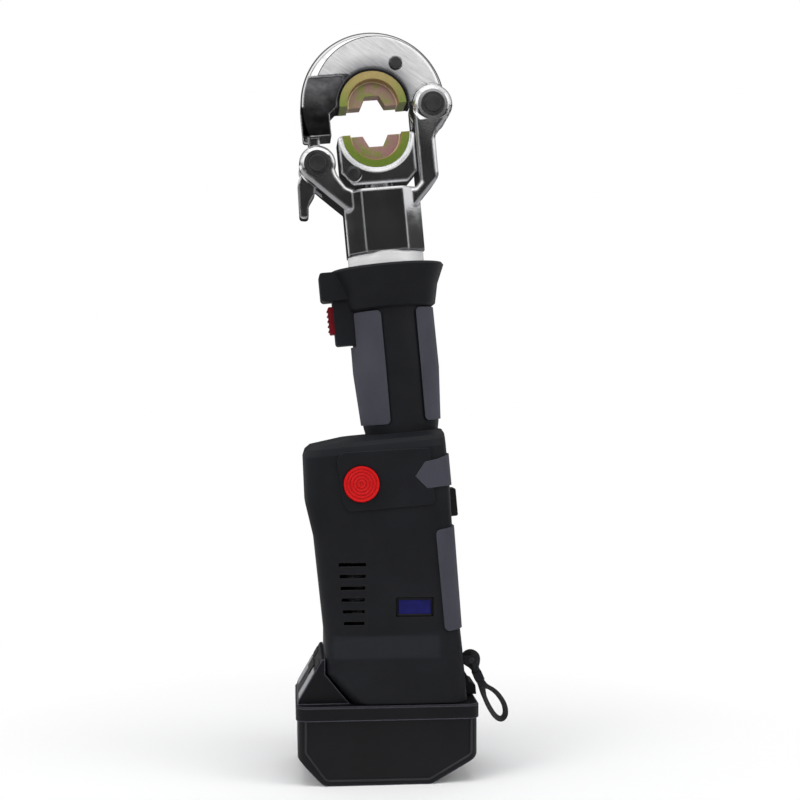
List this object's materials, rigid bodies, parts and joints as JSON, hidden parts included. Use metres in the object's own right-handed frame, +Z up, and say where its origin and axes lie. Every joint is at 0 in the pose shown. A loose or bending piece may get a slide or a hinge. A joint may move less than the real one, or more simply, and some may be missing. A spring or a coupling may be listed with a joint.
{
  "type": "hydraulic cable crimping tool",
  "caption": "Upright battery crimping tool: swivelling flip-top head with hexagon dies, hinged jaw and latch, ram, grip with trigger, body with release button, slide-on battery and wrist strap.",
  "frame": {"origin": "centre of the battery's flat underside", "axes": "+Z up along the tool's length, -Y towards the face with the release button, +X towards the wrist strap; the head and grip lean 5.3 degrees from Z towards -X"},
  "size_m": [0.1395, 0.0766, 0.4861],
  "materials": {
    "chrome_forging": "polished plating with a brushed top face",
    "dark_plated_yoke": "dark polished plating",
    "dies": "passivated turned steel",
    "black_pins": "black oxide, satin",
    "steel": "machined",
    "spring_steel": "drawn wire",
    "collar": "pale brushed",
    "housing_plastic": "fine spark texture",
    "soft_pads": "soft moulded",
    "release_red": "glossy",
    "trigger_red": "satin",
    "lens": "deep blue, glossy",
    "seal": "smooth",
    "pump_metal": "machined",
    "motor_steel": "zinc plated",
    "reservoir_rubber": "smooth bladder",
    "board": "solder resist",
    "pack_plastic": "fine texture",
    "cell_sleeve": "shrink sleeve over a cell, at a cell's density",
    "contacts": "plated",
    "strap": "woven"
  },
  "bodies": {
    "housing": {"housing_front": "housing_plastic", "housing_back": "housing_plastic", "housing_screws": "steel", "swivel_collar": "collar", "grip_pad_left": "soft_pads", "grip_pad_right": "soft_pads", "rear_pad": "soft_pads", "arrow_pad": "soft_pads", "trigger_switch": "housing_plastic", "release_valve": "steel", "indicator_lens": "lens", "circuit_board": "board", "rear_lug": "soft_pads", "motor_can": "motor_steel", "motor_cap": "housing_plastic", "gearbox_case": "pump_metal", "pump_block": "pump_metal", "pump_plunger": "steel", "feed_tube": "pump_metal", "oil_reservoir": "reservoir_rubber", "battery_rails": "housing_plastic", "terminal_block": "contacts", "strap_bar": "steel", "strap_slider": "housing_plastic", "wrist_strap": "strap"},
    "head": {"head_yoke": "dark_plated_yoke", "hinge_pin": "black_pins", "latch_pin": "black_pins", "pin_circlips": "spring_steel", "latch_spring": "spring_steel", "cylinder_plug": "pump_metal", "piston_return_spring": "spring_steel"},
    "jaw": {"upper_jaw": "chrome_forging", "upper_die": "dies", "upper_die_detent": "steel"},
    "latch": {"latch_lever": "dark_plated_yoke"},
    "ram": {"ram_die_seat": "chrome_forging", "piston": "steel", "piston_seal": "seal", "lower_die": "dies", "lower_die_detent": "steel"},
    "upper_push_pin": {"upper_die_pin": "dark_plated_yoke", "upper_pin_spring": "spring_steel"},
    "lower_push_pin": {"lower_die_pin": "dark_plated_yoke", "lower_pin_spring": "spring_steel"},
    "trigger": {"trigger": "trigger_red", "trigger_spring": "spring_steel"},
    "release": {"release_button": "release_red", "release_button_spring": "spring_steel"},
    "rotor": {"motor_rotor": "steel"},
    "carrier": {"planet_carrier": "steel", "eccentric_bearing": "steel"},
    "planet_1": {"planet_gear_1": "steel"},
    "planet_2": {"planet_gear_2": "steel"},
    "planet_3": {"planet_gear_3": "steel"},
    "battery": {"battery_case_lower": "pack_plastic", "battery_case_upper": "pack_plastic", "battery_cells": "cell_sleeve", "battery_board": "board"},
    "key": {"battery_key": "soft_pads"}
  },
  "joints": [
    {"name": "head_swivel", "type": "hinge", "parent": "housing", "child": "head", "pos_m": [0.00102, 0, 0.34153], "axis": [-0.0924, 0, 0.9957], "range_deg": [-175, 175]},
    {"name": "jaw_open", "type": "hinge", "parent": "head", "child": "jaw", "pos_m": [0.03083, 0, 0.43911], "axis": [0, 1, 0], "range_deg": [0, 110]},
    {"name": "latch_release", "type": "hinge", "parent": "head", "child": "latch", "pos_m": [-0.04446, 0, 0.39868], "axis": [0, -1, 0], "range_deg": [0, 15], "stiffness_Nm_per_rad": 0.6, "springref_deg": -14.32},
    {"name": "ram_slide", "type": "slide", "parent": "head", "child": "ram", "axis": [-0.0924, 0, 0.9957], "range_m": [0, 0.0187], "stiffness_N_per_m": 1500, "springref_m": -0.01, "deforming": ["piston_return_spring"]},
    {"name": "upper_pin_push", "type": "slide", "parent": "jaw", "child": "upper_push_pin", "axis": [0, 1, 0], "range_m": [0, 0.0034], "stiffness_N_per_m": 900, "springref_m": -0.003},
    {"name": "lower_pin_push", "type": "slide", "parent": "ram", "child": "lower_push_pin", "axis": [0, 1, 0], "range_m": [0, 0.0034], "stiffness_N_per_m": 900, "springref_m": -0.003},
    {"name": "trigger_pull", "type": "slide", "parent": "housing", "child": "trigger", "axis": [0.9957, 0, 0.0924], "range_m": [0, 0.0025], "stiffness_N_per_m": 1200, "springref_m": -0.003},
    {"name": "release_press", "type": "slide", "parent": "housing", "child": "release", "axis": [0, 1, 0], "range_m": [0, 0.003], "stiffness_N_per_m": 1500, "springref_m": -0.003},
    {"name": "carrier_spin", "type": "hinge", "parent": "housing", "child": "carrier", "pos_m": [-0.0189, 0, 0.14485], "axis": [-0.0924, 0, 0.9957], "continuous": true},
    {"name": "rotor_spin", "type": "hinge", "parent": "housing", "child": "rotor", "pos_m": [-0.0189, 0, 0.14485], "axis": [-0.0924, 0, 0.9957], "continuous": true},
    {"name": "battery_slide", "type": "slide", "parent": "housing", "child": "battery", "axis": [-1, 0, 0], "range_m": [0, 0.075]},
    {"name": "key_press", "type": "slide", "parent": "battery", "child": "key", "axis": [0.865, 0, -0.5018], "range_m": [0, 0.0025], "stiffness_N_per_m": 900, "springref_m": -0.003},
    {"name": "planet_1_spin", "type": "hinge", "parent": "carrier", "child": "planet_1", "pos_m": [-0.0189, 0.0108, 0.14485], "axis": [-0.0924, 0, 0.9957], "continuous": true},
    {"name": "planet_2_spin", "type": "hinge", "parent": "carrier", "child": "planet_2", "pos_m": [-0.02821, -0.0054, 0.14399], "axis": [-0.0924, 0, 0.9957], "continuous": true},
    {"name": "planet_3_spin", "type": "hinge", "parent": "carrier", "child": "planet_3", "pos_m": [-0.00959, -0.0054, 0.14572], "axis": [-0.0924, 0, 0.9957], "continuous": true}
  ],
  "couplings": [
    {"joint": "rotor_spin", "follows": "carrier_spin", "ratio": 4.5},
    {"joint": "planet_1_spin", "follows": "carrier_spin", "ratio": -2.8},
    {"joint": "planet_2_spin", "follows": "carrier_spin", "ratio": -2.8},
    {"joint": "planet_3_spin", "follows": "carrier_spin", "ratio": -2.8}
  ]
}
